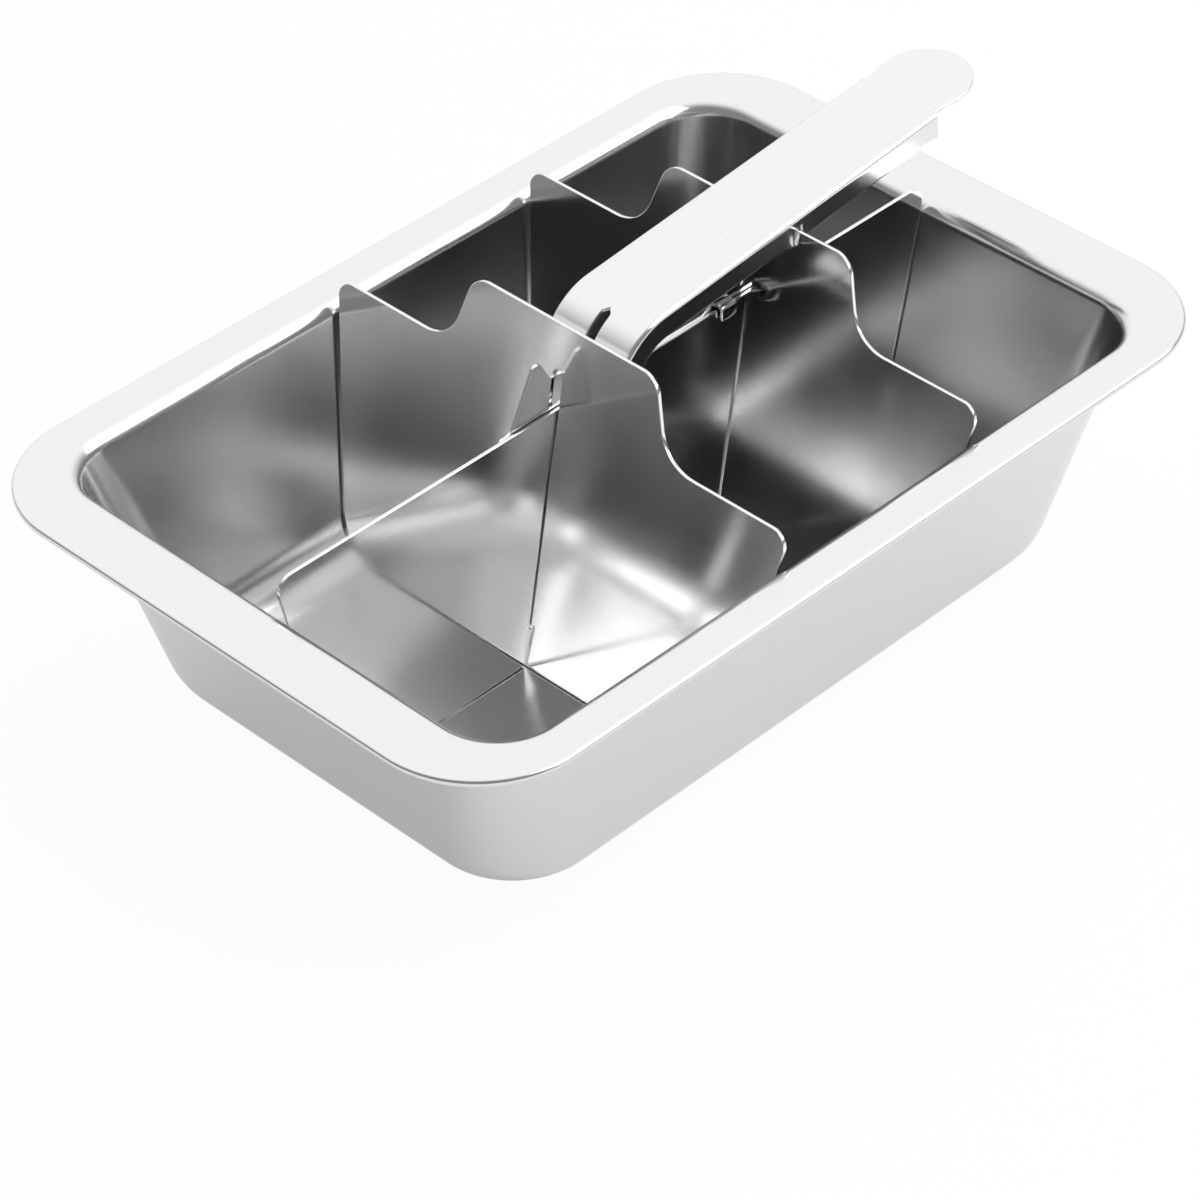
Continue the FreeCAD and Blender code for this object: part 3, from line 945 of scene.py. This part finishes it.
@dataclass(frozen=True)
class ReleaseLever:
    """Channel lever: hooked front with a forked toe, side flanges and a flat round tongue.

    Its outer line in side view is a toe, an arc and a straight slope. At every station of that line
    the cross-section runs from the slot over the crest down the flange, so the skin is a grid of
    (station, section) points: P = line(s) - depth * normal(s), y = +-width.
    """

    line_z: float = 74.6
    slope: float = 0.1
    hook_x: float = 5.8
    hook_radius: float = 14.5
    toe_z: float = 51.8
    toe_half: float = 9.4
    toe_corner: float = 0.8
    toe_neck: float = 0.5
    eye_radius: float = 2.6
    eye_inset: float = 0.03
    eye_thinner: float = 0.04
    eye_edge: float = 0.15
    sheet: float = 0.8
    edge: float = 0.22
    flange: float = 5.5
    front_half: float = 10.5
    rear_half: float = 10.1
    flange_end: float = 83.2
    waist_half: float = 9.1
    waist_x: float = 84.8
    waist_run: float = 5.2
    tip_x: float = 100.5
    tip_half: float = 9.9
    slot_half: float = 1.1
    slot_end: float = -0.3
    slot_run: float = 9.0
    crest: float = 1.0
    crest_share: float = 0.6
    step: float = 0.05
    notch: tuple[float, float] = (40.38, 43.18)
    notch_depth: float = 2.4
    notch_run: float = 3.0
    tooth_hang: float = 0.4
    tooth_x: tuple[float, float] = (38.3, 39.0)
    lip: float = 0.5
    lip_back: float = 0.7
    lip_spread: float = 0.55
    lip_end: float = 0.3
    lip_depth: tuple[float, float] = (2.6, 5.6)
    sharp: float = 50.0

    def stations(self) -> tuple[Array, Array, Array, Array]:
        """Stations along the outer line.

        Returns:
            x and z of each station, and the two parts of its outward normal.
        """
        tilt = math.atan(self.slope)
        centre_z = self.line_z + self.slope * self.hook_x - self.hook_radius / math.cos(tilt)
        below = np.linspace(self.toe_z, PIN.z - self.step, 20)
        toe = np.concatenate([below, [PIN.z, centre_z]])
        turn = np.linspace(math.pi, QUARTER + tilt, 40)[1:]
        arc_x = self.hook_x + self.hook_radius * np.cos(turn)
        arc_z = centre_z + self.hook_radius * np.sin(turn)
        low, high = self.notch
        round_turn = np.linspace(0, QUARTER, 26)[1:]
        marks = [
            np.linspace(arc_x[-1], low - self.notch_run, 24)[1:],
            np.linspace(low - self.notch_run, low, 12)[1:],
            np.linspace(low + self.step, high - self.step, 8),
            np.linspace(high, self.flange_end, 32),
            np.linspace(self.flange_end + self.step, self.tip_x - self.tip_half, 34),
            self.tip_x - self.tip_half * (1 - np.sin(round_turn)),
        ]
        line_x = np.concatenate(marks)
        toe_x, line_ones = np.full(len(toe), self.hook_x - self.hook_radius), np.ones(len(line_x))
        x = np.concatenate([toe_x, arc_x, line_x])
        z = np.concatenate([toe, arc_z, self.line_z + self.slope * line_x])
        nx = np.concatenate([np.full(len(toe), -1.0), np.cos(turn), -math.sin(tilt) * line_ones])
        nz = np.concatenate([np.zeros(len(toe)), np.sin(turn), math.cos(tilt) * line_ones])
        return x, z, nx, nz

    def half_width(self, x: Array, z: Array) -> Array:
        """Half width of the lever at each station.

        It tapers along the flanges, narrows at the waist and closes as a circle at the tip.

        Args:
            x: stations along the tray.
            z: their heights.

        Returns:
            Half widths.
        """
        taper = (self.front_half - self.rear_half) / (self.flange_end - PIN.x)
        body = self.front_half - taper * (x - PIN.x)
        start = np.clip((z - self.toe_z) / self.toe_corner, 0, 1)
        toe = self.toe_half - self.toe_corner * (1 - np.sqrt(1 - (1 - start) ** 2))
        low = toe + smooth_step(z - PIN.z + self.eye_radius + self.toe_neck) * (body - toe)
        width = np.where(x < self.hook_x - self.hook_radius + 0.2 * self.step, low, body)
        back = smooth_step((x - self.waist_x) / self.waist_run)
        tongue = self.waist_half + back * (self.tip_half - self.waist_half)
        width = np.where(x > self.flange_end + 0.5 * self.step, tongue, width)
        round_x = np.clip((x - self.tip_x + self.tip_half) / self.tip_half, 0, 1)
        return width * np.sqrt(1 - round_x**2)

    def flange_depth(self, x: Array, z: Array) -> Array:
        """Depth of the side flanges below the outer line at each station.

        Args:
            x: stations along the tray.
            z: their heights.

        Returns:
            Depths.
        """
        near = 0.5 * self.step
        depth = np.where(z > PIN.z - near, self.flange, 0.0)
        low, high = self.notch
        start, full = self.tooth_x
        hang = smooth_step((x - start) / (full - start)) * self.tooth_hang
        depth = np.where(x < low + near, depth + hang, depth)
        depth = np.where((x > low + near) & (x < high - near), self.notch_depth, depth)
        return np.where(x > self.flange_end + near, 0.0, depth)

    def skin(self) -> Array:
        """One half of the skin, from the slot's edge over the crest to the flange's foot.

        Returns:
            Array of stations by section points.
        """
        x, z, nx, nz = self.stations()
        width = self.half_width(x, z)
        depth = self.flange_depth(x, z)
        crest = np.minimum(self.crest, self.crest_share * depth)
        run = np.concatenate([[0.0], np.cumsum(np.hypot(np.diff(x), np.diff(z)))])
        above = run > self.slot_run
        slot_end = np.interp(self.slot_end, x[above], run[above])
        left = np.clip((slot_end - run) / self.slot_half, 0, 1)
        slot = self.slot_half * np.sqrt(1 - (1 - left) ** 2)
        flat_y = slot[:, None] + np.linspace(0, 1, 11)[None, :] * (width - crest - slot)[:, None]
        turn = np.linspace(0, QUARTER, 10)[1:][None, :]
        crest_y = (width - crest)[:, None] + crest[:, None] * np.sin(turn)
        crest_d = crest[:, None] * (1 - np.cos(turn))
        side_d = crest[:, None] + np.linspace(0, 1, 9)[1:][None, :] * (depth - crest)[:, None]
        low = self.notch[0]
        start, full = self.lip_depth
        curl = np.exp(-(((x - low + self.lip_back) / self.lip_spread) ** 2)) * (x < low + self.lip_end)
        curl = curl[:, None] * np.clip((side_d - start) / (full - start), 0, 1) ** 2
        side_y = width[:, None] + self.lip * curl
        y = np.concatenate([flat_y, crest_y, side_y], 1)
        d = np.concatenate([np.zeros_like(flat_y), crest_d, side_d], 1)
        return np.stack([x[:, None] - d * nx[:, None], y, z[:, None] - d * nz[:, None]], -1)

    def build_eye(self, name: str, side: float) -> bpy.types.Object:
        """Builds one eye of the pin.

        Args:
            name: name of the piece.
            side: -1 on the right, 1 on the left.

        Returns:
            The eye.
        """
        outline = circle(PIN, self.eye_radius, 48)[::-1]
        level = side * (self.front_half - 0.5 * self.sheet - self.eye_inset)
        sheet = CutSheet(name, [outline], self.sheet - self.eye_thinner, self.eye_edge)
        return sheet.build(upright(level))

    def build(self, shop: Workshop) -> list[bpy.types.Object]:
        """Builds the lever's skin and the two eyes of its pin.

        Args:
            shop: gives the pieces their finish.

        Returns:
            The pieces.
        """
        right = self.skin()
        left = right * np.array([1.0, -1.0, 1.0])
        rows, columns = right.shape[:2]
        quads = grid_faces(rows, columns, False)
        points = np.concatenate([right.reshape(-1, 3), left.reshape(-1, 3)]) * MM
        faces = np.vstack([quads[:, ::-1], quads + rows * columns]).tolist()
        skin = new_object("lever_skin", points, faces)
        clean_mesh(skin, 1e-6, outward=False)
        thicken(skin, self.sheet * MM, self.edge * MM)
        smooth_above(skin, self.sharp)
        pieces = [skin, self.build_eye("lever_eye_right", -1.0), self.build_eye("lever_eye_left", 1.0)]
        return [shop.dress(piece, Slot.LEVER, Body.LEVER, "release_lever") for piece in pieces]


@dataclass(frozen=True)
class TurnedPart:
    """Round part turned about an axis across the tray: r = r(y) swept by the angle."""

    name: str
    node: str
    body: Body
    axis: Axis
    corners: list[Corner]
    steps: int = 64
    sharp: float = 40.0

    def build(self, shop: Workshop) -> bpy.types.Object:
        """Builds the part.

        Args:
            shop: gives the piece its finish.

        Returns:
            The part.
        """
        y_low, y_high = self.corners[0][1], self.corners[-1][1]
        loop = rounded_outline([(0.0, y_low, 0.0), *self.corners, (0.0, y_high, 0.0)], 6)
        turn = 2 * math.pi * np.arange(self.steps) / self.steps
        radius, y = loop[:, 0][:, None], loop[:, 1][:, None]
        x = self.axis.x + radius * np.cos(turn)[None]
        z = self.axis.z + radius * np.sin(turn)[None]
        points = np.stack([x, np.broadcast_to(y, x.shape), z], -1) * MM
        rows, columns = points.shape[:2]
        faces = grid_faces(rows, columns, True).tolist()
        piece = new_object(self.name, points.reshape(-1, 3), faces)
        clean_mesh(piece, 1e-7)
        smooth_above(piece, self.sharp)
        return shop.dress(piece, Slot.PIN, self.body, self.node)


def turned_parts() -> list[TurnedPart]:
    """Lists the pivot pin, the axle and its two studs, each by the (radius, y, soft) of its corners.

    Returns:
        The round parts.
    """
    shaft, head, stud = 1.5, 2.2, 3.6
    head_low, head_high, stud_end = 10.6, 11.4, 12.2
    pin = [(head, -head_high, 0.35), (head, -head_low, 0.1), (shaft, -head_low, 0.0)]
    pin += [(radius, -y, soft) for radius, y, soft in reversed(pin)]
    axle = [(shaft, -8.0, 0.2), (shaft, 8.0, 0.2)]
    right = [(stud, -stud_end, 0.4), (stud, -0.93, 0.1)]
    left = [(stud, 1.2, 0.1), (stud, stud_end, 0.4)]
    return [
        TurnedPart("pivot_pin_turned", "lever_pivot_pin", Body.LEVER, PIN, pin),
        TurnedPart("axle_turned", "cam_axle", Body.GRID, CAM, axle),
        TurnedPart("stud_turned_right", "cam_stud_right", Body.GRID, CAM, right),
        TurnedPart("stud_turned_left", "cam_stud_left", Body.GRID, CAM, left),
    ]


@dataclass(frozen=True)
class SoftBox:
    """Square light that faces the tray: direction in degrees, distance and size in metres, watts."""

    name: str
    azimuth: float
    elevation: float
    distance: float
    size: float
    power: float

    def build(self) -> None:
        """Hangs the light."""
        data = bpy.data.lights.new(self.name, "AREA")
        data.size = self.size
        data.energy = self.power
        made = bpy.data.objects.new(self.name, data)
        a, e = math.radians(self.azimuth), math.radians(self.elevation)
        spot = Vector((math.cos(e) * math.cos(a), math.cos(e) * math.sin(a), math.sin(e))) * self.distance
        made.location = spot
        made.rotation_mode = "QUATERNION"
        made.rotation_quaternion = (-spot).to_track_quat("-Z", "Y")
        bpy.context.scene.collection.objects.link(made)


@dataclass(frozen=True)
class Studio:
    """Camera, floor and soft light. Lengths in metres."""

    key: SoftBox = SoftBox("key", -50.0, 42.0, 1.6, 1.3, 14.0)
    eye: tuple[float, float, float] = (-0.514398, -0.510420, 0.589106)
    right: tuple[float, float, float] = (0.69956, -0.71446, -0.01292)
    down: tuple[float, float, float] = (-0.45687, -0.43330, -0.77687)
    ahead: tuple[float, float, float] = (0.54944, 0.54937, -0.62954)
    lens: float = 139.0
    sensor: float = 36.0
    clip: tuple[float, float] = (0.05, 50.0)
    floor_half: float = 3.0
    floor_drop: float = 0.0004
    floor_colour: float = 0.95
    floor_to_camera: float = 0.94
    floor_to_steel: float = 0.30
    sky_toward: tuple[float, float, float] = (0.36, 0.50, 0.78)
    sky_start: float = 0.28
    sky_full: float = 0.86
    sky_low: float = 0.34
    sky_high: float = 1.42

    def camera(self) -> None:
        """Sets the camera at the photographed angle."""
        data = bpy.data.cameras.new("view")
        data.lens = self.lens
        data.sensor_width = self.sensor
        data.clip_start, data.clip_end = self.clip
        made = bpy.data.objects.new("view", data)
        turn = Matrix((self.right, [-v for v in self.down], [-v for v in self.ahead])).transposed()
        made.matrix_world = Matrix.Translation(self.eye) @ turn.to_4x4()
        bpy.context.scene.collection.objects.link(made)
        bpy.context.scene.camera = made

    def floor(self) -> None:
        """Lays a pale floor that looks white to the camera and keeps a faint shadow."""
        sign = np.array([[-1, -1], [1, -1], [1, 1], [-1, 1]])
        points = np.hstack([self.floor_half * sign, np.full((4, 1), -self.floor_drop)])
        made = new_object("floor", points, [[0, 1, 2, 3]])
        paint = bpy.data.materials.new("floor_white")
        paint.use_nodes = True
        paint.node_tree.nodes.clear()
        graph = Graph(paint.node_tree)
        path = graph.add("LightPath", {}).outputs
        glossy = {0: path["Is Glossy Ray"], 1: self.floor_to_steel}
        steel = graph.add("Math", glossy, operation="MULTIPLY")
        seen = {0: path["Is Camera Ray"], 1: self.floor_to_camera, 2: steel}
        weight = graph.add("Math", seen, operation="MULTIPLY_ADD")
        diffuse = graph.add("BsdfDiffuse", {"Color": (*[self.floor_colour] * 3, 1.0)})
        glow = graph.add("Emission", {"Color": WHITE})
        mix = graph.add("MixShader", {"Fac": weight, 1: diffuse, 2: glow})
        graph.add("OutputMaterial", {"Surface": mix})
        made.data.materials.append(paint)

    def world(self) -> None:
        """Lights the room: white to the camera, and for the rest brightest around one direction."""
        made = bpy.data.worlds.new("studio")
        bpy.context.scene.world = made
        made.use_nodes = True
        made.node_tree.nodes.clear()
        graph = Graph(made.node_tree)
        place = graph.add("TexCoord", {}).outputs["Generated"]
        aim = {0: place, 1: Vector(self.sky_toward).normalized()}
        toward = graph.add("VectorMath", aim, operation="DOT_PRODUCT")
        ramp = {
            "Value": toward.outputs["Value"],
            "From Min": self.sky_start,
            "From Max": self.sky_full,
            "To Min": self.sky_low,
            "To Max": self.sky_high,
        }
        level = graph.add("MapRange", ramp, interpolation_type="SMOOTHSTEP")
        room = graph.add("Background", {"Strength": level})
        white = graph.add("Background", {"Color": WHITE, "Strength": 1.0})
        camera = graph.add("LightPath", {}).outputs["Is Camera Ray"]
        mix = graph.add("MixShader", {"Fac": camera, 1: room, 2: white})
        graph.add("OutputWorld", {"Surface": mix})

    def build(self) -> None:
        """Sets up the whole studio."""
        self.camera()
        self.floor()
        self.world()
        self.key.build()
        bpy.context.scene.view_settings.view_transform = "Standard"


def make_finishes() -> dict[Slot, bpy.types.Material]:
    """Makes one steel finish for each slot.

    Returns:
        Materials by slot.
    """
    along, across = (0.05, 1.0, 1.0), (1.0, 0.05, 1.0)
    finishes = {
        Slot.PAN: SteelFinish("pan_satin"),
        Slot.DIVIDER: SteelFinish("divider_polish", (0.83, 0.83, 0.832), 0.08, along),
        Slot.BLADE: SteelFinish("blade_polish", (0.86, 0.86, 0.862), 0.12, across),
        Slot.LEVER: SteelFinish("lever_satin", (0.81, 0.81, 0.812), 0.16, along),
        Slot.PIN: SteelFinish("pin_turned", (0.70, 0.70, 0.70)),
    }
    return {slot: finish.material() for slot, finish in finishes.items()}


def dress_nodes(nodes: dict[str, bpy.types.Object], shop: Workshop, record: dict) -> None:
    """Gives every CAD node its finish.

    Args:
        nodes: the frame's nodes.
        shop: holds the finishes.
        record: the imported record.
    """
    slots = {entry["node"]: Slot(entry["material_slot"]) for entry in record["subparts"]}
    for name, node in nodes.items():
        node.data.materials.clear()
        node.data.materials.append(shop.finishes[slots[name]])


def main() -> None:
    """Builds the pieces in order."""
    logging.basicConfig(level=logging.INFO, format="%(message)s")
    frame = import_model()
    shop = Workshop(make_finishes())
    dress_nodes(frame["nodes"], shop, frame["record"])
    walls = Walls()
    divider = Divider(walls)
    front_x, rear_x = divider.blade_feet
    TrayPan(walls).build(shop)
    CrossBlade("front_blade_sheet", "front_cross_blade", Body.FRONT_BLADE, walls, front_x).build(shop)
    CrossBlade("rear_blade_sheet", "rear_cross_blade", Body.REAR_BLADE, walls, rear_x).build(shop)
    divider.build(shop)
    SlidePlate().build(shop)
    ReleaseLever().build(shop)
    for part in turned_parts():
        part.build(shop)
    Studio().build()


if __name__ == "__main__":
    main()
